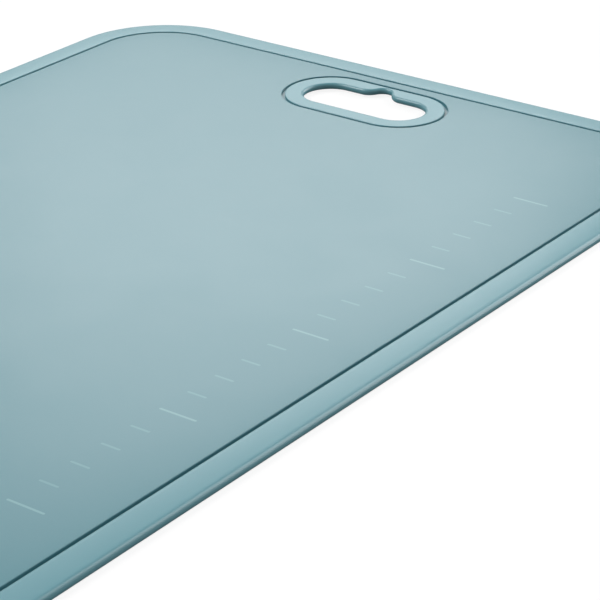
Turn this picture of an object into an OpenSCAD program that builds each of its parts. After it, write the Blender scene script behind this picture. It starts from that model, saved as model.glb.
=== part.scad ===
// Flexible cutting mat with a soft rim, a carrying slot and a centimetre ruler.
// It lies flat, with the carrying slot towards +Y and the ruler along the +X edge.
// The origin is under the middle of the mat, at the level that the rim stands on.
// Sizes are in millimetres.

/* [Mat] */
// Length over the rim
mat_l = 330; // [260:1:420]
// Width over the rim
mat_w = 218; // [160:1:300]
// Overall height, from the feet of the soft parts to the cutting face
mat_h = 2.6; // [2.5:0.1:4]
// Radius of the corners over the rim
corner_r = 31; // [20:1:60]
// Thickness of the flexible sheet
sheet_t = 2; // [1.6:0.1:2.2]

/* [Soft rim] */
// Width of the rim, from its nose to the middle of the groove
rim_w = 8.7; // [7:0.1:14]
// Radius of the round nose
nose_r = 1.2; // [0.8:0.05:1.2]

/* [Groove and tongue] */
// Width of the groove at the cutting face
groove_w = 1.2; // [0.8:0.1:1.3]
// Depth of the groove, down to the tongue
groove_d = 0.8; // [0.4:0.1:0.8]
// Radius of the sheet's edge at the groove
edge_r = 0.2; // [0.1:0.05:0.3]
// Radius of the shoulder where a soft part dips into the groove
shoulder_r = 0.6; // [0.2:0.1:0.7]
// Radius along the inner edge of the feet
foot_r = 0.4; // [0.1:0.05:0.5]
// Thickness of the tongue that the soft parts grip
tongue_t = 0.7; // [0.5:0.1:0.8]
// Reach of the tongue into the rim
rim_tongue_w = 4.5; // [3:0.5:5]
// Reach of the tongue into the handle surround
handle_tongue_w = 2.8; // [2.4:0.1:3.5]
// Diameter of the anchor holes in the tongue
anchor_d = 1.6; // [1:0.1:1.8]
// Distance between anchor holes
anchor_pitch = 12; // [8:1:20]

/* [Carrying slot] */
// Length of the slot
slot_l = 41.5; // [36:0.5:90]
// Width of the slot
slot_w = 16.2; // [12:0.2:20]
// Radius of the lip round the slot
lip_r = 0.95; // [0.6:0.05:0.95]
// Width of the soft band, from the slot to the middle of its groove
band_w = 6.1; // [5.9:0.1:8]
// Distance between the groove of the band and the groove of the rim
bridge_w = 4.9; // [3:0.1:20]

/* [Hook notch] */
// Flat left between the lip of the notch and the shoulder at the groove
notch_flat = 0.2; // [0.1:0.05:0.8]
// Radius of the notch at its top
notch_r = 2.9; // [2.4:0.1:3.4]
// Angle of the notch's flanks to the slot's edge
notch_flank = 57; // [48:1:62]
// Radius that blends the flanks into the slot's edge
notch_fillet = 4.5; // [3:0.1:5.4]

/* [Ruler] */
// Length that the ruler measures
ruler_l = 200; // [100:10:230]
// Distance between two marks
ruler_step = 10; // [5:5:20]
// Every how many marks a long one stands
long_every = 5; // [2:1:10]
// Length of a long mark
long_mark = 10.8; // [7:0.2:16]
// Length of a short mark
short_mark = 5.6; // [3:0.2:6.8]
// Distance from the groove of the rim to the inner end of the marks
ruler_inset = 23.5; // [18:0.1:40]
// Width of a mark's recess
mark_w = 0.7; // [0.5:0.1:1.2]
// Depth of a mark's recess
mark_d = 0.3; // [0.2:0.1:0.5]

/* [Fits] */
// Clearance between round faces that lie inside each other
fit_gap = 0.05; // [0.02:0.01:0.1]

/* [Hidden] */

// How far a cutter runs past the face that it cuts
past = 1;
// Width of the sheet's border that carries its rounded edge
border_w = 2;
// How far a bend of the lip runs into the straight beside it, and how far it stands back from it
lip_lap = 0.1;
lip_step = 0.05;
// Segments of a full turn: large arcs, small arcs and the flat crown
fine = 96;
small = 32;
crown_segments = 360;

// Outline of the groove's middle line, which the seam follows
seam_l = mat_l - 2 * rim_w;
seam_w = mat_w - 2 * rim_w;
seam_r = corner_r - rim_w;
groove_half = groove_w / 2;
edge_gap = groove_half + fit_gap;

// Heights
sheet_z = mat_h - sheet_t;
tongue_top = mat_h - groove_d;
tongue_z = tongue_top - tongue_t;

// Crown of the rim: it starts level at the groove and ends tangent to the nose
crown_run = rim_w - nose_r - groove_half;
crown_r = (crown_run * crown_run / (mat_h - 2 * nose_r) + mat_h) / 2;

// Carrying slot: its end radius, the reach of its end centres and its place
slot_r = slot_w / 2;
slot_reach = slot_l / 2 - slot_r;
ring_r = slot_r + band_w;
handle_y = seam_l / 2 - bridge_w - ring_r;

// The handle surround is as thick as the sheet, and its lip's radius is limited by that
lip = min(lip_r, sheet_t / 2 - lip_step);

// Hook notch: its rise, the centres of its arcs and where its flanks touch them
notch_wall = lip + notch_flat + shoulder_r;
notch_y = ring_r - notch_wall - notch_r;
fillet_y = slot_r + notch_fillet;
fillet_x = (notch_r + notch_fillet - cos(notch_flank) * (fillet_y - notch_y)) / sin(notch_flank);
flank_normal = [sin(notch_flank), cos(notch_flank)];
flank_top = [0, notch_y] + notch_r * flank_normal;
flank_foot = [fillet_x, fillet_y] - notch_fillet * flank_normal;
notch_relief_r = notch_r + lip + notch_flat;

// Lip: how far the rest of the surround stands back from the slot, and where the lip's section ends in it
lip_root = lip + notch_flat / 3;
lip_end = lip + 2 * notch_flat / 3;

// Ruler: how many marks, and the line that their inner ends stand on
mark_count = floor(ruler_l / ruler_step) + 1;
ruler_x = seam_w / 2 - ruler_inset;

// Where the rim's corner centres lie
corner_x = seam_w / 2 - seam_r;
corner_y = seam_l / 2 - seam_r;

// A point turned about the origin
function turned(p, a) = [p[0] * cos(a) - p[1] * sin(a), p[0] * sin(a) + p[1] * cos(a)];

// Places about a pitch apart along a side of half length along, and inside the corner that follows it
function side_places(out, along, pitch) =
    let (steps = max(1, round(2 * along / pitch)))
        along > 0 ? [for (i = [0 : steps]) [out, along * (2 * i / steps - 1)]] : [];
function corner_places(out, along, r, pitch) =
    let (steps = max(1, round(PI * r / 2 / pitch)))
        [for (i = [1 : 1 : steps - 1]) [out + r * cos(90 * i / steps), along + r * sin(90 * i / steps)]];
function places_round(reach_x, reach_y, r, pitch) = [
    for (k = [0 : 3])
        let (along = k % 2 == 0 ? reach_y : reach_x, out = k % 2 == 0 ? reach_x : reach_y)
            for (p = concat(side_places(out + r, along, pitch), corner_places(out, along, r, pitch)))
                turned(p, 90 * k)
];

// Anchor holes of the rim, and those of the handle that clear the notch
rim_anchors = places_round(corner_x, corner_y, seam_r + rim_tongue_w / 2, anchor_pitch);
handle_anchors = [
    for (p = places_round(slot_reach, 0, ring_r - handle_tongue_w / 2, anchor_pitch))
        if (norm(p - [0, notch_y]) > notch_relief_r + anchor_d) p
];

// Outline of a rounded rectangle, from the reach of its corner centres
module rounded(reach_x, reach_y, r) {
    square([2 * reach_x, 2 * (reach_y + r)], center = true);
    square([2 * (reach_x + r), 2 * reach_y], center = true);
    for (x = [-reach_x, reach_x], y = [-reach_y, reach_y])
        translate([x, y]) circle(r, $fn = fine);
}

// Outline of a slot with full round ends
module stadium(reach, r) {
    square([2 * reach, 2 * r], center = true);
    for (x = [-reach, reach]) translate([x, 0]) circle(r, $fn = fine);
}

// Sweeps a section round the corner centres, with its x measured outwards from them
module swept_round(reach_x, reach_y) {
    for (k = [0 : 3]) {
        along = k % 2 == 0 ? reach_y : reach_x;
        out = k % 2 == 0 ? reach_x : reach_y;
        rotate(90 * k) translate([out, along, 0]) {
            if (along > 0) rotate([90, 0, 0]) linear_extrude(2 * along) children();
            rotate_extrude(angle = 90, $fn = fine) children();
        }
    }
}

// What is missing from a soft part at the seam: the groove and the tongue's slot
// The section's x runs from the groove's middle into the soft part
module seam_void(tongue_w) {
    difference() {
        translate([-groove_half, tongue_top]) square([groove_w, groove_d + past]);
        translate([groove_half - shoulder_r, tongue_top]) square([shoulder_r, groove_d - shoulder_r]);
        translate([groove_half, mat_h - shoulder_r]) circle(shoulder_r, $fn = small);
    }
    translate([-groove_half, tongue_z]) square([tongue_w + fit_gap + groove_half, tongue_t]);
}

// Section of the rim: level beside the groove, crowned, and ending in the round nose
module rim_section() {
    crown_end = nose_r * crown_run / (crown_r - nose_r);
    difference() {
        union() {
            translate([-groove_half, 0]) square([groove_w, mat_h]);
            intersection() {
                translate([groove_half, mat_h - crown_r]) circle(crown_r, $fn = crown_segments);
                union() {
                    translate([groove_half, 0]) square([crown_run, mat_h]);
                    translate([groove_half + crown_run, nose_r]) square([crown_end, mat_h]);
                }
            }
            translate([rim_w - nose_r, nose_r]) circle(nose_r, $fn = fine);
        }
        seam_void(rim_tongue_w);
        difference() {
            translate([-groove_half - past, -past]) square(past + foot_r);
            translate([foot_r - groove_half, foot_r]) circle(foot_r, $fn = small);
        }
    }
}

// Section of the handle surround before the slot is cut, from the slot's middle to the seam
module handle_section() {
    difference() {
        translate([0, sheet_z]) square([ring_r + groove_half, sheet_t]);
        translate([ring_r, 0]) mirror([1, 0]) seam_void(handle_tongue_w);
    }
}

// Outline of the slot with its hook notch, grown all round into the soft part
module slot_outline(grow) {
    flank_shift = grow * flank_normal;
    flank = [[fillet_x, slot_r], [fillet_x, slot_r + grow], flank_foot + flank_shift, flank_top + flank_shift];
    stadium(slot_reach, slot_r + grow);
    difference() {
        polygon(concat(flank, [for (i = [3 : -1 : 0]) [-flank[i][0], flank[i][1]]]));
        for (x = [-fillet_x, fillet_x]) translate([x, fillet_y]) circle(notch_fillet - grow, $fn = fine);
    }
    translate([0, notch_y]) circle(notch_r + grow, $fn = fine);
}

// Section of the full round lip, with x running from the slot's edge into the soft part
module lip_section(back) {
    translate([back, 0]) intersection() {
        translate([0, sheet_z]) square([lip, sheet_t]);
        union() {
            translate([0, sheet_z + lip]) square([lip, sheet_t - 2 * lip]);
            for (y = [sheet_z + lip, mat_h - lip]) translate([lip, y]) circle(lip, $fn = small);
        }
    }
    translate([back + lip, sheet_z]) square([lip_end - lip, sheet_t]);
}

// The lip along a straight edge, with the soft part on the left of the way from a to b
module lip_straight(a, b) {
    way = b - a;
    translate(a) rotate([90, 0, 90 + atan2(way[1], way[0])]) linear_extrude(norm(way)) lip_section(0);
}

// The lip round a bend; side is 1 where the soft part is outside the arc, -1 where it is inside
// A bend runs a little into the straights beside it, and stands back by less than shows
module lip_bend(centre, r, from, turn, side) {
    lap = lip_lap / r * 180 / PI;
    translate(centre) rotate(from - lap) rotate_extrude(angle = turn + 2 * lap, $fn = fine)
        translate([r, 0])
            if (side > 0) lip_section(lip_step);
            else mirror([1, 0]) lip_section(lip_step);
}

// The lip all the way round the slot and its notch
module slot_lip() {
    lip_straight([slot_reach, -slot_r], [-slot_reach, -slot_r]);
    lip_bend([-slot_reach, 0], slot_r, 90, 180, 1);
    lip_straight([-slot_reach, slot_r], [-fillet_x, slot_r]);
    lip_bend([-fillet_x, fillet_y], notch_fillet, -90, notch_flank, -1);
    lip_straight([-flank_foot[0], flank_foot[1]], [-flank_top[0], flank_top[1]]);
    lip_bend([0, notch_y], notch_r, 90 - notch_flank, 2 * notch_flank, 1);
    lip_straight(flank_top, flank_foot);
    lip_bend([fillet_x, fillet_y], notch_fillet, -90 - notch_flank, notch_flank, -1);
    lip_straight([fillet_x, slot_r], [slot_reach, slot_r]);
    lip_bend([slot_reach, 0], slot_r, -90, 180, 1);
}

// Pegs of soft material that fill the anchor holes
module pegs(places) {
    for (p = places)
        translate([p[0], p[1], tongue_z]) cylinder(h = tongue_t, d = anchor_d - 2 * fit_gap, $fn = small);
}

// Strokes of the ruler, each grown by an amount all round
module ruler_strokes(grow) {
    for (i = [0 : mark_count - 1]) {
        run = (i % long_every == 0 ? long_mark : short_mark) - mark_w;
        translate([ruler_x + mark_w / 2, ruler_step * i - ruler_l / 2]) {
            translate([0, -mark_w / 2 - grow]) square([run, mark_w + 2 * grow]);
            for (x = [0, run]) translate([x, 0]) circle(d = mark_w + 2 * grow, $fn = small);
        }
    }
}

// Section of the sheet's border, with x running from the groove's middle away from the sheet
module border_section() {
    difference() {
        translate([-edge_gap - border_w, sheet_z]) square([border_w, sheet_t]);
        difference() {
            translate([-edge_gap - edge_r, mat_h - edge_r]) square(edge_r + past);
            translate([-edge_gap - edge_r, mat_h - edge_r]) circle(edge_r, $fn = small);
        }
    }
}

// The flexible sheet, with its rounded edges, tongues, anchor holes and the recesses of the ruler
module cutting_sheet() {
    inset = edge_gap + border_w / 2;
    color("#9fc0c8") {
        difference() {
            union() {
                translate([0, 0, sheet_z]) linear_extrude(sheet_t) difference() {
                    rounded(corner_x, corner_y, seam_r - inset);
                    translate([0, handle_y]) stadium(slot_reach, ring_r + inset);
                }
                swept_round(corner_x, corner_y) translate([seam_r, 0]) border_section();
                translate([0, handle_y, 0]) swept_round(slot_reach, 0)
                    translate([ring_r, 0]) mirror([1, 0]) border_section();
            }
            translate([0, 0, mat_h - mark_d]) linear_extrude(mark_d + past) ruler_strokes(0);
        }
        translate([0, 0, tongue_z]) linear_extrude(tongue_t) difference() {
            rounded(corner_x, corner_y, seam_r + rim_tongue_w);
            translate([0, handle_y]) {
                stadium(slot_reach, ring_r - handle_tongue_w);
                translate([0, notch_y]) circle(notch_relief_r, $fn = fine);
                for (p = handle_anchors) translate(p) circle(d = anchor_d, $fn = small);
            }
            for (p = rim_anchors) translate(p) circle(d = anchor_d, $fn = small);
        }
    }
}

// The soft rim round the outline, gripping the tongue
module soft_rim() {
    color("#94b8c1") {
        swept_round(corner_x, corner_y) translate([seam_r, 0]) rim_section();
        pegs(rim_anchors);
    }
}

// The soft band round the carrying slot, with its full round lip and hook notch
module handle_surround() {
    color("#9cbcc6") translate([0, handle_y, 0]) {
        difference() {
            swept_round(slot_reach, 0) handle_section();
            translate([0, 0, -past]) linear_extrude(mat_h + 2 * past) slot_outline(lip_root);
        }
        slot_lip();
        // Where the tongue makes way for the notch, the soft part is solid
        translate([0, 0, tongue_z]) linear_extrude(tongue_t) difference() {
            translate([0, notch_y]) circle(notch_relief_r - fit_gap, $fn = fine);
            slot_outline(lip_root);
        }
        pegs(handle_anchors);
    }
}

// The pale strokes of the ruler, inlaid level with the cutting face
module ruler_marks() {
    color("#b9d2d8") translate([0, 0, mat_h - mark_d]) linear_extrude(mark_d) ruler_strokes(-fit_gap);
}

cutting_sheet();
soft_rim();
handle_surround();
ruler_marks();
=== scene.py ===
# %% [markdown]
# A flexible cutting mat. The frame holds its pieces at their real size: a thin sheet, a soft rim moulded
# round it, a soft band round the carrying slot, and the strokes of a ruler. This file gives them their
# moulded edges and their finish, lights them as a small studio would, and looks at them from the
# photograph's place.

# %% Load the frame
import math
import bmesh
import bpy
from mathutils import Matrix, Vector


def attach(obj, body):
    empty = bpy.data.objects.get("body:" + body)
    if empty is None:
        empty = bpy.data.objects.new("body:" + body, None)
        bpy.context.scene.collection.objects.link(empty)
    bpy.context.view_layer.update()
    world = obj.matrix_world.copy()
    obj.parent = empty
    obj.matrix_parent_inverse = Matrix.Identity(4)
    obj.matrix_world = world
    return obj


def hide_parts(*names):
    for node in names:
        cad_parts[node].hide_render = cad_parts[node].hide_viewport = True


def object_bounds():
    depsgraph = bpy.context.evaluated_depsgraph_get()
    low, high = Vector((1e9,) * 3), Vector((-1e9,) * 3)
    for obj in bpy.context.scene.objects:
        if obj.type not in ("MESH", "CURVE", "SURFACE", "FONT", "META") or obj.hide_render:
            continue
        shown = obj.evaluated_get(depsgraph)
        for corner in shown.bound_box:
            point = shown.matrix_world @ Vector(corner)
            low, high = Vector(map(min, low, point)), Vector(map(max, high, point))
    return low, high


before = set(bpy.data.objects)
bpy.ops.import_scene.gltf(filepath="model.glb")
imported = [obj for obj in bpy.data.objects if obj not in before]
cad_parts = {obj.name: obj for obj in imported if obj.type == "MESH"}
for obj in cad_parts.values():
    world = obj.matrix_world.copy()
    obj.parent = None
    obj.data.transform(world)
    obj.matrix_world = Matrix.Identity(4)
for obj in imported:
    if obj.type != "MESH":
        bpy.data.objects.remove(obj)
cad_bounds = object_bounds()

MM = 0.001
low, high = (Vector(corner) for corner in cad_bounds)
middle = (low + high) / 2
print("mat measures, mm:", [round(side / MM, 2) for side in high - low])

# %% [markdown]
# Nodes do most of the work below, in the shapes as well as in the finishes. One small function adds a node
# with its settings and its links. Colours are written as hex codes, as on a paint chip, and Blender mixes
# light in linear values, so a second function turns them round.

# %% Node and colour helpers
def add_node(tree, kind, inputs, **settings):
    """Adds a node, sets its properties, then fills or links the inputs that are named or numbered."""
    made = tree.nodes.new(kind)
    for name, value in settings.items():
        setattr(made, name, value)
    for key, value in inputs.items():
        if isinstance(value, bpy.types.NodeSocket):
            tree.links.new(value, made.inputs[key])
        else:
            made.inputs[key].default_value = value
    return made


def linear(hex_code):
    """An sRGB hex colour as the linear RGBA that Blender's sockets hold."""
    channels = [int(hex_code[i:i + 2], 16) / 255 for i in (0, 2, 4)]
    return [c / 12.92 if c <= 0.04045 else ((c + 0.055) / 1.055) ** 2.4 for c in channels] + [1.0]


print("mid grey 808080 is", round(linear("808080")[0], 3), "in linear light")

# %% [markdown]
# The camera stands where the photograph's did. Its place and lens were worked out from the photograph:
# the straight grooves give the directions, the round corner and the ring give the lens, and the ruler
# gives the distance. It is a long lens that looks down by some 25 degrees.

# %% Camera
CAMERA_PLACE = Vector((387.8, -404.6, 252.3)) * MM
CAMERA_HEADING = math.radians(-36.5)
CAMERA_PITCH = math.radians(25.38)
CAMERA_ROLL = math.radians(-0.54)
PICTURE = 600
FOCAL_PIXELS = 2347
AXIS_PIXEL = (331, 300)

look = Vector((math.sin(CAMERA_HEADING) * math.cos(CAMERA_PITCH),
               math.cos(CAMERA_HEADING) * math.cos(CAMERA_PITCH), -math.sin(CAMERA_PITCH)))
level = Vector((math.cos(CAMERA_HEADING), -math.sin(CAMERA_HEADING), 0))
right = level * math.cos(CAMERA_ROLL) + level.cross(look) * math.sin(CAMERA_ROLL)
upward = right.cross(look)
camera_data = bpy.data.cameras.new("camera")
camera = bpy.data.objects.new("camera", camera_data)
bpy.context.scene.collection.objects.link(camera)
camera.matrix_world = Matrix((
    (right.x, upward.x, -look.x, CAMERA_PLACE.x),
    (right.y, upward.y, -look.y, CAMERA_PLACE.y),
    (right.z, upward.z, -look.z, CAMERA_PLACE.z),
    (0, 0, 0, 1)))
camera_data.sensor_width = 36
camera_data.lens = FOCAL_PIXELS * camera_data.sensor_width / PICTURE
camera_data.shift_x = (PICTURE / 2 - AXIS_PIXEL[0]) / PICTURE
camera_data.shift_y = (AXIS_PIXEL[1] - PICTURE / 2) / PICTURE
camera_data.clip_start = 0.01
camera_data.clip_end = 100
bpy.context.scene.camera = camera
bpy.context.scene.view_settings.view_transform = "Standard"
print("lens, mm:", round(camera_data.lens, 1))

# %% [markdown]
# The measures of the moulding, in millimetres, as the frame has them. Only the shoulders are rounded more
# tightly here, because the photograph's grooves are dark right up to the soft part's top. The groove is the
# gap left above the sheet's tongue, between the sheet's wall and the shoulder of a soft part. A section's
# first number runs outwards from the groove's middle, and its second one is the height.

# %% Measures
MAT_W, MAT_L, MAT_H = (side / MM for side in high - low)
RIM_W, CORNER_R, NOSE_R = 8.7, 31.0, 1.2
GROOVE_HALF, GROOVE_D, SHOULDER_R, FOOT_R = 0.6, 0.8, 0.25, 0.4
TONGUE_T, RIM_TONGUE, HANDLE_TONGUE, FIT_GAP = 0.7, 4.5, 2.8, 0.05
SLOT_L, SLOT_W, LIP_R, BAND_W, BRIDGE_W = 41.5, 16.2, 0.95, 6.1, 4.9
NOTCH_FLAT, NOTCH_R, NOTCH_FLANK, NOTCH_FILLET = 0.8, 2.9, math.radians(57), 4.5
SHEET_Z = MAT_H - 2.0
TONGUE_TOP = MAT_H - GROOVE_D
TONGUE_Z = TONGUE_TOP - TONGUE_T
SEAM_R = CORNER_R - RIM_W
REACH_X, REACH_Y = MAT_W / 2 - CORNER_R, MAT_L / 2 - CORNER_R
SLOT_R = SLOT_W / 2
SLOT_REACH = SLOT_L / 2 - SLOT_R
RING_R = SLOT_R + BAND_W
HANDLE_Y = MAT_L / 2 - RIM_W - BRIDGE_W - RING_R
NOTCH_Y = RING_R - LIP_R - NOTCH_FLAT - NOTCH_R
print("slot's middle lies", round(HANDLE_Y, 2), "mm from the mat's")

# %% [markdown]
# Everything that was moulded here is a section taken along a path, so both are drawn from arcs. An arc is a
# rule with five numbers, and it stays true at any fineness. Curve objects hold them for the trees below. A
# sweep turns a section over, with its second number downwards, so sections are flipped first.

# %% Arcs and curve objects
QUARTER = math.pi / 2
TURN_STEPS = 40          # segments of a quarter turn on a path
ROUND_STEPS = 8          # segments of a quarter turn on a section
HOLD = 0.05              # a strip of flat beside each rounding, which keeps the shading of the flat level


def arc(centre, radius, start, end, steps):
    """Points of an arc, both ends included, with angles in radians from the first axis."""
    angles = [start + (end - start) * i / steps for i in range(steps + 1)]
    return [(centre[0] + radius * math.cos(a), centre[1] + radius * math.sin(a)) for a in angles]


def curve_object(name, points, closed, section=False):
    """A poly curve from points in millimetres, linked to the scene so that a tree can read it."""
    data = bpy.data.curves.new(name, "CURVE")
    data.dimensions = "3D"
    spline = data.splines.new("POLY")
    spline.points.add(len(points) - 1)
    for point, (x, y) in zip(spline.points, points):
        point.co = (x * MM, -y * MM if section else y * MM, 0, 1)
    spline.use_cyclic_u = closed
    made = bpy.data.objects.new(name, data)
    bpy.context.scene.collection.objects.link(made)
    print(name, "has", len(points), "points")
    return made


print("a quarter turn is", TURN_STEPS, "segments on a path and", ROUND_STEPS, "on a section")

# %% [markdown]
# Three paths are needed, all anticlockwise: the rim's groove, the ring's groove, and the slot's own edge
# with the hook notch in its far side. The notch's round top meets straight flanks, and a fillet on each
# side leads back into the slot's edge. The ring gets close points beside the notch, where the slot for the
# tongue is pushed back later.

# %% Paths
def rounded_path(reach_x, reach_y, radius, centre_y):
    """A rounded rectangle from the reach of its corner centres."""
    corners = [(reach_x, -reach_y), (reach_x, reach_y), (-reach_x, reach_y), (-reach_x, -reach_y)]
    path = []
    for k, (x, y) in enumerate(corners):
        turn = arc((x, y + centre_y), radius, (k - 1) * QUARTER, k * QUARTER, TURN_STEPS)
        path += turn[1:] if path and math.dist(turn[0], path[-1]) < HOLD else turn
    return path[:-1] if math.dist(path[0], path[-1]) < HOLD else path


def slot_path():
    """The slot's edge, with the hook notch in the middle of its far side."""
    fillet_y = SLOT_R + NOTCH_FILLET
    along_flank = NOTCH_R + NOTCH_FILLET - math.cos(NOTCH_FLANK) * (fillet_y - NOTCH_Y)
    fillet_x = along_flank / math.sin(NOTCH_FLANK)
    path = arc((SLOT_REACH, 0), SLOT_R, -QUARTER, QUARTER, 2 * TURN_STEPS)
    path += arc((fillet_x, fillet_y), NOTCH_FILLET, -QUARTER, -QUARTER - NOTCH_FLANK, TURN_STEPS // 2)
    path += arc((0, NOTCH_Y), NOTCH_R, QUARTER - NOTCH_FLANK, QUARTER + NOTCH_FLANK, TURN_STEPS)
    path += arc((-fillet_x, fillet_y), NOTCH_FILLET, NOTCH_FLANK - QUARTER, -QUARTER, TURN_STEPS // 2)
    path += arc((-SLOT_REACH, 0), SLOT_R, QUARTER, 3 * QUARTER, 2 * TURN_STEPS)
    return [(x, y + HANDLE_Y) for x, y in path]


CLOSE_STEP = 0.4         # millimetres between the ring's points beside the notch
notch_reach = NOTCH_R + NOTCH_FILLET
close_steps = round(2 * notch_reach / CLOSE_STEP)
beside_notch = [(notch_reach - CLOSE_STEP * i, RING_R + HANDLE_Y) for i in range(close_steps + 1)]
ring_points = rounded_path(SLOT_REACH, 0, RING_R, HANDLE_Y)
far_run = 2 * TURN_STEPS + 1    # the ring's first half turn ends before this point
ring_points[far_run:far_run] = beside_notch
rim_path = curve_object("rim_path", rounded_path(REACH_X, REACH_Y, SEAM_R, 0), True)
ring_path = curve_object("ring_path", ring_points, True)
lip_path = curve_object("lip_path", slot_path(), True)

# %% [markdown]
# The rim's section is closed. It starts level at the groove, runs out along a low crown, turns round the
# nose, comes back along the foot, and goes in round the slot that grips the sheet's tongue. Crown and nose
# share a tangent where the line through their centres crosses them.

# %% Section of the rim
crown_run = RIM_W - NOSE_R - GROOVE_HALF
crown_r = (crown_run ** 2 / (MAT_H - 2 * NOSE_R) + MAT_H) / 2
crown_end = math.atan2(NOSE_R - MAT_H + crown_r, crown_run)
rim_points = arc((GROOVE_HALF, MAT_H - crown_r), crown_r, QUARTER, crown_end, ROUND_STEPS)
rim_points += arc((RIM_W - NOSE_R, NOSE_R), NOSE_R, crown_end, -QUARTER, 2 * ROUND_STEPS)[1:]
rim_points += [(RIM_W - NOSE_R - HOLD, 0), (FOOT_R - GROOVE_HALF + HOLD, 0)]
rim_points += arc((FOOT_R - GROOVE_HALF, FOOT_R), FOOT_R, -QUARTER, -2 * QUARTER, ROUND_STEPS)
rim_points += [(-GROOVE_HALF, TONGUE_Z), (RIM_TONGUE + FIT_GAP, TONGUE_Z),
               (RIM_TONGUE + FIT_GAP, TONGUE_TOP), (GROOVE_HALF - SHOULDER_R, TONGUE_TOP)]
rim_points += arc((GROOVE_HALF, MAT_H - SHOULDER_R), SHOULDER_R, 2 * QUARTER, QUARTER, ROUND_STEPS)[:-1]
rim_section = curve_object("rim_section", rim_points, True, section=True)
print("crown radius", round(crown_r, 1), "mm")

# %% [markdown]
# The band round the slot has two unlike sides, so each side gets an open section of its own. The outer one
# has the shoulder and the slot for the tongue. The inner one is the full round lip. The band is as thick as
# the sheet, so it stands clear of the table and only the rim touches it.

# %% Sections of the band
seam_points = [(-GROOVE_HALF - HOLD, MAT_H)]
seam_points += arc((-GROOVE_HALF, MAT_H - SHOULDER_R), SHOULDER_R, QUARTER, 0, ROUND_STEPS)
seam_points += [(SHOULDER_R - GROOVE_HALF, TONGUE_TOP), (-HANDLE_TONGUE - FIT_GAP, TONGUE_TOP),
                (-HANDLE_TONGUE - FIT_GAP, TONGUE_Z), (GROOVE_HALF, TONGUE_Z), (GROOVE_HALF, SHEET_Z),
                (GROOVE_HALF - HOLD, SHEET_Z)]
lip_points = [(LIP_R + HOLD, MAT_H)]
lip_points += arc((LIP_R, MAT_H - LIP_R), LIP_R, QUARTER, 2 * QUARTER, 2 * ROUND_STEPS)
lip_points += arc((LIP_R, SHEET_Z + LIP_R), LIP_R, 2 * QUARTER, 3 * QUARTER, 2 * ROUND_STEPS)
lip_points += [(LIP_R + HOLD, SHEET_Z)]
seam_section = curve_object("seam_section", seam_points, False, section=True)
lip_section = curve_object("lip_section", lip_points, False, section=True)

# %% [markdown]
# A geometry tree is built from a list of its named inputs, and a second helper grows a piece from it. It
# sets each input by its socket's identifier, takes the evaluated result as a plain mesh, and drops the
# modifier, so nothing is left to evaluate later. It also measures the mesh: a closed one has no open edge,
# and its volume is positive when its faces point outwards.

# %% Tree helpers
SHARP_ANGLE = math.radians(30)


def new_tree(name, sockets):
    """An empty geometry tree with named inputs; returns it, its inputs' sockets and its output's node."""
    tree = bpy.data.node_groups.new(name, "GeometryNodeTree")
    for label, kind in sockets.items():
        tree.interface.new_socket(name=label, in_out="INPUT", socket_type="NodeSocket" + kind)
    tree.interface.new_socket(name="Piece", in_out="OUTPUT", socket_type="NodeSocketGeometry")
    return tree, add_node(tree, "NodeGroupInput", {}).outputs, add_node(tree, "NodeGroupOutput", {})


def grow(name, tree, values):
    """Runs a tree with the given input values and returns its result as a mesh object."""
    seed = bpy.data.objects.new(name + "_seed", bpy.data.meshes.new(name + "_seed"))
    bpy.context.scene.collection.objects.link(seed)
    modifier = seed.modifiers.new("grow", "NODES")
    modifier.node_group = tree
    for socket in tree.interface.items_tree:
        if socket.in_out == "INPUT":
            modifier[socket.identifier] = values[socket.name]
    evaluated = seed.evaluated_get(bpy.context.evaluated_depsgraph_get())
    mesh = bpy.data.meshes.new_from_object(evaluated)
    bpy.data.objects.remove(seed)
    mesh.name = name
    piece = bpy.data.objects.new(name, mesh)
    bpy.context.scene.collection.objects.link(piece)
    check = bmesh.new()
    check.from_mesh(mesh)
    open_edges = sum(len(edge.link_faces) != 2 for edge in check.edges)
    print(name, "-", len(mesh.polygons), "faces,", open_edges, "open edges,",
          round(check.calc_volume(signed=True) / MM ** 3, 1), "cubic mm")
    check.free()
    return piece


def sweep(tree, path, section):
    """Nodes that take a section along a path, with the section's first number away from the middle."""
    path_curve = add_node(tree, "GeometryNodeObjectInfo", {"Object": path})
    section_curve = add_node(tree, "GeometryNodeObjectInfo", {"Object": section})
    upright = add_node(tree, "GeometryNodeSetCurveNormal", {"Curve": path_curve.outputs["Geometry"]},
                       mode="Z_UP")
    swept = add_node(tree, "GeometryNodeCurveToMesh", {"Curve": upright.outputs["Curve"],
                                                       "Profile Curve": section_curve.outputs["Geometry"]})
    return swept.outputs["Mesh"]


def finish_tree(tree, mesh, material, output):
    """Nodes that smooth the rounded faces, keep the sharp edges and set the material."""
    angle = add_node(tree, "GeometryNodeInputMeshEdgeAngle", {})
    sharp = add_node(tree, "FunctionNodeCompare", {"A": angle.outputs["Unsigned Angle"], "B": SHARP_ANGLE},
                     operation="GREATER_THAN")
    smooth = add_node(tree, "GeometryNodeSetShadeSmooth", {"Geometry": mesh, "Shade Smooth": True})
    creased = add_node(tree, "GeometryNodeSetShadeSmooth",
                       {"Geometry": smooth.outputs[0], "Selection": sharp.outputs[0],
                        "Shade Smooth": False}, domain="EDGE")
    real = add_node(tree, "GeometryNodeRealizeInstances", {"Geometry": creased.outputs[0]})
    dressed = add_node(tree, "GeometryNodeSetMaterial", {"Geometry": real.outputs[0], "Material": material})
    tree.links.new(dressed.outputs[0], output.inputs[0])


print("edges over", round(math.degrees(SHARP_ANGLE)), "degrees stay sharp")

# %% [markdown]
# The rim is one closed section all the way round. On the real mat it was moulded over the edge of the
# sheet in one shot, which is what a sweep makes too.

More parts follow.
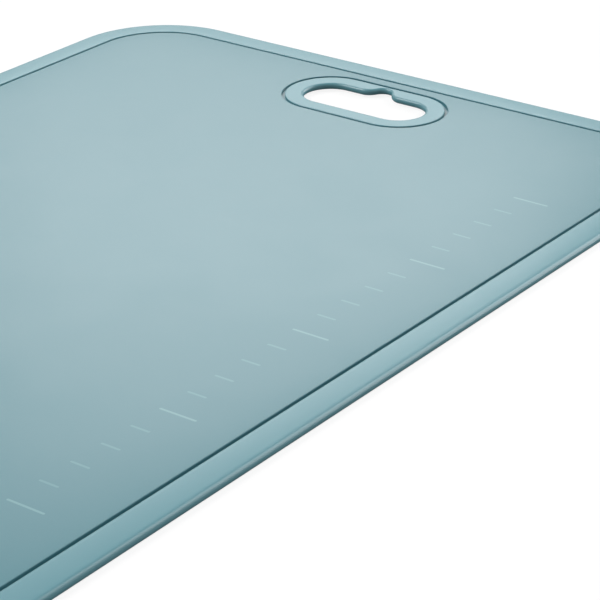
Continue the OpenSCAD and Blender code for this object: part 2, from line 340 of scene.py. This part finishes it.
# %% Grow the rim
tree, given, result = new_tree("swept_rim", {"Path": "Object", "Section": "Object", "Material": "Material"})
swept = sweep(tree, given["Path"], given["Section"])
finish_tree(tree, swept, given["Material"], result)
soft_finish = bpy.data.materials.new("moulded_elastomer")
soft_rim = grow("rim_moulding", tree, {"Path": rim_path, "Section": rim_section, "Material": soft_finish})

# %% [markdown]
# The band round the slot lies between two edges that don't run parallel, because of the notch. So its outer
# and inner sides are swept by themselves, and the two flats are filled between the open loops that the
# sweeps leave at the top and at the bottom. Close points are merged to make one closed skin. Where the
# notch comes near the groove, the slot for the tongue is pushed back to a given radius round the notch.

# %% Helpers for the band
BAND_MIDDLE = (MAT_H + SHEET_Z) / 2


def flat_between(tree, strips, height, upwards):
    """Nodes that fill the flat between the open loops that lie on one side of the band's middle height."""
    use = add_node(tree, "GeometryNodeInputMeshEdgeNeighbors", {})
    is_open = add_node(tree, "FunctionNodeCompare", {2: use.outputs[0], 3: 1},
                       data_type="INT", operation="EQUAL")
    place = add_node(tree, "GeometryNodeInputPosition", {})
    level = add_node(tree, "ShaderNodeSeparateXYZ", {0: place.outputs[0]})
    side = add_node(tree, "FunctionNodeCompare", {"A": level.outputs["Z"], "B": BAND_MIDDLE * MM},
                    operation="GREATER_THAN" if upwards else "LESS_THAN")
    chosen = add_node(tree, "FunctionNodeBooleanMath", {0: is_open.outputs[0], 1: side.outputs[0]},
                      operation="AND")
    loops = add_node(tree, "GeometryNodeMeshToCurve", {"Mesh": strips, "Selection": chosen.outputs[0]})
    filled = add_node(tree, "GeometryNodeFillCurve", {"Curve": loops.outputs[0]}, mode="TRIANGLES")
    moved = add_node(tree, "GeometryNodeTransform", {"Geometry": filled.outputs[0]})
    lifted = add_node(tree, "ShaderNodeCombineXYZ", {"Z": height})
    tree.links.new(lifted.outputs[0], moved.inputs["Translation"])
    if upwards:
        return moved.outputs[0]
    return add_node(tree, "GeometryNodeFlipFaces", {"Mesh": moved.outputs[0]}).outputs[0]


def pushed_back(tree, mesh, centre, radius):
    """Nodes that move the points inside an upright cylinder out to its face, at their own height."""
    place = add_node(tree, "GeometryNodeInputPosition", {})
    away = add_node(tree, "ShaderNodeVectorMath", {0: place.outputs[0], 1: centre}, operation="SUBTRACT")
    flat = add_node(tree, "ShaderNodeVectorMath", {0: away.outputs[0], 1: (1, 1, 0)}, operation="MULTIPLY")
    gap = add_node(tree, "ShaderNodeVectorMath", {0: flat.outputs[0]}, operation="LENGTH")
    inside = add_node(tree, "FunctionNodeCompare", {"A": gap.outputs["Value"], "B": radius},
                      operation="LESS_THAN")
    missing = add_node(tree, "ShaderNodeMath", {0: radius, 1: gap.outputs["Value"]}, operation="SUBTRACT")
    way = add_node(tree, "ShaderNodeVectorMath", {0: flat.outputs[0]}, operation="NORMALIZE")
    step = add_node(tree, "ShaderNodeVectorMath", {0: way.outputs[0], "Scale": missing.outputs[0]},
                    operation="SCALE")
    return add_node(tree, "GeometryNodeSetPosition", {"Geometry": mesh, "Selection": inside.outputs[0],
                                                      "Offset": step.outputs[0]}).outputs[0]


print("the band's middle is", round(BAND_MIDDLE, 2), "mm high")

# %% Grow the band round the slot
MERGE_GAP = 0.002        # millimetres within which points become one

tree, given, result = new_tree("band_between_edges", {
    "Outer Path": "Object", "Outer Section": "Object", "Inner Path": "Object", "Inner Section": "Object",
    "Height": "Float", "Base": "Float", "Notch Centre": "Vector", "Clear Radius": "Float",
    "Merge Distance": "Float", "Material": "Material"})
outer = sweep(tree, given["Outer Path"], given["Outer Section"])
outer = pushed_back(tree, outer, given["Notch Centre"], given["Clear Radius"])
inner = sweep(tree, given["Inner Path"], given["Inner Section"])
inner = add_node(tree, "GeometryNodeFlipFaces", {"Mesh": inner}).outputs[0]
strips = add_node(tree, "GeometryNodeJoinGeometry", {})
for strip in (inner, outer):
    tree.links.new(strip, strips.inputs[0])
top = flat_between(tree, strips.outputs[0], given["Height"], True)
bottom = flat_between(tree, strips.outputs[0], given["Base"], False)
skin = add_node(tree, "GeometryNodeJoinGeometry", {})
for part in (bottom, top, strips.outputs[0]):
    tree.links.new(part, skin.inputs[0])
closed = add_node(tree, "GeometryNodeMergeByDistance",
                  {"Geometry": skin.outputs[0], "Distance": given["Merge Distance"]})
finish_tree(tree, closed.outputs[0], given["Material"], result)
handle_band = grow("handle_moulding", tree, {
    "Outer Path": ring_path, "Outer Section": seam_section, "Inner Path": lip_path,
    "Inner Section": lip_section, "Height": MAT_H * MM, "Base": SHEET_Z * MM,
    "Notch Centre": (0.0, (HANDLE_Y + NOTCH_Y) * MM, 0.0),
    "Clear Radius": (NOTCH_R + LIP_R + NOTCH_FLAT - GROOVE_HALF - FIT_GAP) * MM,
    "Merge Distance": MERGE_GAP * MM, "Material": soft_finish})

# %% [markdown]
# The ruler's strokes repeat along a line, and every fifth is long. Each one starts as a short cylinder, and
# its outer half is then pulled away by the stroke's own length, which leaves both ends round. The pull is
# kept on the mesh as an attribute, so that the finish can tell a long stroke from a short one.

# %% Grow the ruler's strokes
STROKE_W, STROKE_D, LONG_STROKE, SHORT_STROKE = 0.7, 0.3, 10.8, 5.6
LONG_PULL, SHORT_PULL = (LONG_STROKE - STROKE_W) * MM, (SHORT_STROKE - STROKE_W) * MM
RULER_L, RULER_STEP, LONG_EVERY, RULER_INSET = 200, 10, 5, 23.5
STROKE_SIDES = 18        # no corner lies on the line where the halves part

tree, given, result = new_tree("ruler_strokes", {
    "Strokes": "Int", "Start": "Vector", "Step": "Float", "Long Every": "Int", "Long Pull": "Float",
    "Short Pull": "Float", "Stroke Radius": "Float", "Depth": "Float", "Sides": "Int",
    "Material": "Material"})
way = add_node(tree, "ShaderNodeCombineXYZ", {"Y": given["Step"]})
line = add_node(tree, "GeometryNodeMeshLine",
                {"Count": given["Strokes"], "Start Location": given["Start"], "Offset": way.outputs[0]})
number = add_node(tree, "GeometryNodeInputIndex", {})
place_in_five = add_node(tree, "FunctionNodeIntegerMath", {0: number.outputs[0], 1: given["Long Every"]},
                         operation="MODULO")
is_long = add_node(tree, "FunctionNodeCompare", {2: place_in_five.outputs[0], 3: 0}, data_type="INT",
                   operation="EQUAL")
pull = add_node(tree, "GeometryNodeSwitch",
                {"Switch": is_long.outputs[0], "False": given["Short Pull"], "True": given["Long Pull"]},
                input_type="FLOAT")
marked = add_node(tree, "GeometryNodeStoreNamedAttribute",
                  {"Geometry": line.outputs[0], "Name": "pull", "Value": pull.outputs[0]}, domain="POINT")
peg = add_node(tree, "GeometryNodeMeshCylinder",
               {"Vertices": given["Sides"], "Radius": given["Stroke Radius"], "Depth": given["Depth"]})
pegs = add_node(tree, "GeometryNodeInstanceOnPoints",
                {"Points": marked.outputs[0], "Instance": peg.outputs["Mesh"]})
loose = add_node(tree, "GeometryNodeRealizeInstances", {"Geometry": pegs.outputs[0]})
own_pull = add_node(tree, "GeometryNodeInputNamedAttribute", {"Name": "pull"}, data_type="FLOAT")
place = add_node(tree, "GeometryNodeInputPosition", {})
here = add_node(tree, "ShaderNodeSeparateXYZ", {0: place.outputs[0]})
first = add_node(tree, "ShaderNodeSeparateXYZ", {0: given["Start"]})
outer_half = add_node(tree, "FunctionNodeCompare", {"A": here.outputs["X"], "B": first.outputs["X"]},
                      operation="GREATER_THAN")
reach = add_node(tree, "ShaderNodeCombineXYZ", {"X": own_pull.outputs[0]})
pulled = add_node(tree, "GeometryNodeSetPosition",
                  {"Geometry": loose.outputs[0], "Selection": outer_half.outputs[0],
                   "Offset": reach.outputs[0]})
finish_tree(tree, pulled.outputs[0], given["Material"], result)
stroke_finish = bpy.data.materials.new("pale_inlaid_polypropylene")
first_x = MAT_W / 2 - RIM_W - RULER_INSET + STROKE_W / 2
strokes = grow("ruler_strokes", tree, {
    "Strokes": RULER_L // RULER_STEP + 1, "Step": RULER_STEP * MM, "Long Every": LONG_EVERY,
    "Start": (first_x * MM, -RULER_L / 2 * MM, (MAT_H - STROKE_D / 2) * MM),
    "Long Pull": LONG_PULL, "Short Pull": SHORT_PULL, "Stroke Radius": STROKE_W / 2 * MM,
    "Depth": STROKE_D * MM, "Sides": STROKE_SIDES, "Material": stroke_finish})

# %% [markdown]
# The frame's own solids hide behind the grown pieces, which ride on the mat's one body. The sheet keeps its
# solid, because its tongues, recesses and edges are already right. The paths and sections have done their
# work and go.

# %% Join the pieces to the frame
for piece, node, slot in ((soft_rim, "soft_rim", "rim_elastomer"),
                          (handle_band, "handle_surround", "handle_elastomer"),
                          (strokes, "ruler_marks", "ruler_inlay")):
    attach(piece, "root")
    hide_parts(node)
    print(piece.name, "stands for", node)
for guide in (rim_path, ring_path, lip_path, rim_section, seam_section, lip_section):
    bpy.data.objects.remove(guide)
sheet_finish = bpy.data.materials.new("spark_eroded_polypropylene")
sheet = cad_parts["cutting_sheet"]
sheet.data.materials.clear()
sheet.data.materials.append(sheet_finish)

# %% [markdown]
# The sheet is polypropylene, moulded against a finely spark-eroded steel face. That gives the eye a satin
# surface: a broad soft reflection, a gloss that varies a little from place to place, and almost no visible
# grain. The real grain is about a tenth of a millimetre, too fine for the picture, so it is drawn several
# times as coarse. The rim and the band are a thermoplastic elastomer of the same tint, a touch paler. The
# strokes are the same polypropylene with a little more white in it, and most in the long ones. The strokes'
# colour goes by their length, and the colour of the other parts by a slow cloud of noise.
#
# The second mould clamps the sheet along the groove, and that leaves its face a little duller there. So the
# sheet's reflection fades towards its border, which is why the photograph's colour deepens on every side.

# %% Moulded plastic
PLASTIC_IOR = 1.49
SATIN, GLOSS_CHANGE = 0.3, 0.012    # roughness, and how far the patches of gloss move it
CLOUD_SIZE = 70          # millimetres across a cloud of colour
PATCH_SIZE = 24          # millimetres across a patch of gloss
GRAIN_STRENGTH = 0.3
PLAIN_LEVEL = 0.5        # Blender's own level for a plastic's reflection
CLAMP_LEVEL = 0.31       # the same right at the groove
CLAMP_FADE = 10          # millimetres over which the dulling fades


def groove_distance(tree, place):
    """Nodes for the way inwards from the middle of the rim's groove, in metres."""
    flat = add_node(tree, "ShaderNodeVectorMath", {0: place, 1: (1, 1, 0)}, operation="MULTIPLY")
    away = add_node(tree, "ShaderNodeVectorMath", {0: flat.outputs[0]}, operation="ABSOLUTE")
    beyond = add_node(tree, "ShaderNodeVectorMath",
                      {0: away.outputs[0], 1: (REACH_X * MM, REACH_Y * MM, 0)}, operation="SUBTRACT")
    outward = add_node(tree, "ShaderNodeVectorMath", {0: beyond.outputs[0], 1: (0, 0, 0)},
                       operation="MAXIMUM")
    round_corner = add_node(tree, "ShaderNodeVectorMath", {0: outward.outputs[0]}, operation="LENGTH")
    parts = add_node(tree, "ShaderNodeSeparateXYZ", {0: beyond.outputs[0]})
    nearer = add_node(tree, "ShaderNodeMath", {0: parts.outputs["X"], 1: parts.outputs["Y"]},
                      operation="MAXIMUM")
    inward = add_node(tree, "ShaderNodeMath", {0: nearer.outputs[0], 1: 0.0}, operation="MINIMUM")
    reach = add_node(tree, "ShaderNodeMath", {0: round_corner.outputs["Value"], 1: inward.outputs[0]},
                     operation="ADD")
    return add_node(tree, "ShaderNodeMath", {0: SEAM_R * MM, 1: reach.outputs[0]},
                    operation="SUBTRACT").outputs[0]


def moulded(material, colour, shade, grain, depth, by_pull=False, clamped=False):
    """A satin moulded plastic: clouds of colour, patches of gloss, and a grain measured in millimetres."""
    material.use_nodes = True
    tree = material.node_tree
    tree.nodes.clear()
    place = add_node(tree, "ShaderNodeTexCoord", {}).outputs["Object"]
    if by_pull:
        pull = add_node(tree, "ShaderNodeAttribute", {}, attribute_name="pull").outputs["Fac"]
        share = add_node(tree, "ShaderNodeMapRange",
                         {"Value": pull, "From Min": SHORT_PULL, "From Max": LONG_PULL}).outputs[0]
    else:
        share = add_node(tree, "ShaderNodeTexNoise", {"Vector": place, "Scale": 1 / (CLOUD_SIZE * MM),
                                                      "Detail": 3.0, "Roughness": 0.5}).outputs["Fac"]
    tint = add_node(tree, "ShaderNodeMix", {"Factor": share, 6: linear(colour), 7: linear(shade)},
                    data_type="RGBA")
    patch = add_node(tree, "ShaderNodeTexNoise", {"Vector": place, "Scale": 1 / (PATCH_SIZE * MM),
                                                  "Detail": 4.0, "Roughness": 0.6, "Distortion": 0.8})
    gloss = add_node(tree, "ShaderNodeMapRange",
                     {"Value": patch.outputs["Fac"], "From Min": 0.25, "From Max": 0.75,
                      "To Min": SATIN - GLOSS_CHANGE, "To Max": SATIN + GLOSS_CHANGE})
    height = add_node(tree, "ShaderNodeTexNoise",
                      {"Vector": place, "Scale": 1 / (grain * MM), "Detail": 2.0}).outputs["Fac"]
    bump = add_node(tree, "ShaderNodeBump",
                    {"Height": height, "Strength": GRAIN_STRENGTH, "Distance": depth * MM})
    surface = add_node(tree, "ShaderNodeBsdfPrincipled",
                       {"Base Color": tint.outputs[2], "Roughness": gloss.outputs[0], "IOR": PLASTIC_IOR,
                        "Normal": bump.outputs["Normal"]})
    if clamped:
        turns = add_node(tree, "ShaderNodeMath",
                         {0: groove_distance(tree, place), 1: -1 / (CLAMP_FADE * MM)}, operation="MULTIPLY")
        fade = add_node(tree, "ShaderNodeMath", {0: turns.outputs[0]}, operation="EXPONENT")
        level = add_node(tree, "ShaderNodeMapRange",
                         {"Value": fade.outputs[0], "To Min": PLAIN_LEVEL, "To Max": CLAMP_LEVEL})
        tree.links.new(level.outputs[0], surface.inputs["Specular IOR Level"])
    add_node(tree, "ShaderNodeOutputMaterial", {"Surface": surface.outputs[0]})
    print("finish:", material.name)


moulded(sheet_finish, "4a7d87", "487a84", grain=0.7, depth=0.02, clamped=True)
moulded(soft_finish, "558a94", "538690", grain=0.6, depth=0.02)
moulded(stroke_finish, "598a93", "66939b", grain=0.5, depth=0.01, by_pull=True)

# %% [markdown]
# The floor is plain white paper. What the camera sees of it is mostly its own light, so that it reads as
# white and still takes the mat's shadow. To every other ray it is a darker grey, so it doesn't light the
# underside of the mat more than a studio table would. The world is white to the camera and in reflections,
# and gives little light besides.

# %% Floor
FLOOR_SIZE = 6.0         # metres
FLOOR_GAP = 0.02         # millimetres under the rim's foot
FLOOR_GLOW = 0.88        # the share of its own light in what the camera sees of the floor
bpy.ops.mesh.primitive_plane_add(size=FLOOR_SIZE, location=(0, 0, low.z - FLOOR_GAP * MM))
floor = bpy.context.object
floor.name = "studio_floor"
paper = bpy.data.materials.new("white_paper")
paper.use_nodes = True
tree = paper.node_tree
tree.nodes.clear()
seen = add_node(tree, "ShaderNodeLightPath", {}).outputs["Is Camera Ray"]
shade = add_node(tree, "ShaderNodeMix", {"Factor": seen, 6: linear("b0b0b0"), 7: linear("ffffff")},
                 data_type="RGBA")
glow = add_node(tree, "ShaderNodeMath", {0: seen, 1: FLOOR_GLOW}, operation="MULTIPLY")
lit = add_node(tree, "ShaderNodeBsdfDiffuse", {"Color": shade.outputs[2]})
shining = add_node(tree, "ShaderNodeEmission", {"Color": linear("ffffff"), "Strength": 1.0})
mixed = add_node(tree, "ShaderNodeMixShader",
                 {0: glow.outputs[0], 1: lit.outputs[0], 2: shining.outputs[0]})
add_node(tree, "ShaderNodeOutputMaterial", {"Surface": mixed.outputs[0]})
floor.data.materials.append(paper)
print("floor at", round(floor.location.z / MM, 2), "mm")

# %% World
WORLD_FILL = 0.15        # what the white world gives as light from all round
world = bpy.data.worlds.new("studio")
bpy.context.scene.world = world
world.use_nodes = True
tree = world.node_tree
tree.nodes.clear()
ray = add_node(tree, "ShaderNodeLightPath", {}).outputs
direct = add_node(tree, "ShaderNodeMath", {0: ray["Is Camera Ray"], 1: ray["Is Glossy Ray"]},
                  operation="MAXIMUM")
bright = add_node(tree, "ShaderNodeMath", {0: direct.outputs[0], 1: ray["Is Transmission Ray"]},
                  operation="MAXIMUM")
strength = add_node(tree, "ShaderNodeMapRange",
                    {"Value": bright.outputs[0], "To Min": WORLD_FILL, "To Max": 1.0})
sky = add_node(tree, "ShaderNodeBackground", {"Color": linear("ffffff"), "Strength": strength.outputs[0]})
add_node(tree, "ShaderNodeOutputWorld", {"Surface": sky.outputs[0]})
print("the world gives", WORLD_FILL, "of white as light, and full white in reflections")

# %% [markdown]
# Three soft boxes do the rest. The back box stands low and opposite the camera, and its reflection lays a
# pale veil over the satin face, strongest beyond the middle, as in the photograph. The window box is wide
# and stands to the right of it, and it lights the slopes that fall away from the camera. The key box hangs
# high on the left. It shows the colour, and leaves the near side of the rim's nose in shade.

# %% Soft boxes
BOX_DISTANCE = 2.0


def soft_box(name, azimuth, elevation, width, height, radiance):
    """A lamp that looks at the mat's middle: a direction in degrees, a size in metres, and a brightness."""
    around, up = math.radians(azimuth), math.radians(elevation)
    away = Vector((math.sin(around) * math.cos(up), math.cos(around) * math.cos(up), math.sin(up)))
    data = bpy.data.lights.new(name, "AREA")
    data.shape = "RECTANGLE"
    data.size, data.size_y = width, height
    data.energy = math.pi * width * height * radiance
    lamp = bpy.data.objects.new(name, data)
    bpy.context.scene.collection.objects.link(lamp)
    lamp.location = middle + away * BOX_DISTANCE
    lamp.rotation_euler = (-away).to_track_quat("-Z", "Y").to_euler()
    lamp.visible_camera = False
    print(name, round(data.energy, 1), "W")


soft_box("back_box", -36.6, 25.6, 0.75, 0.28, 4.94)
soft_box("window_box", 23.7, 23.4, 1.70, 2.15, 3.82)
soft_box("key_box", -114.0, 50.5, 1.42, 1.03, 7.97)
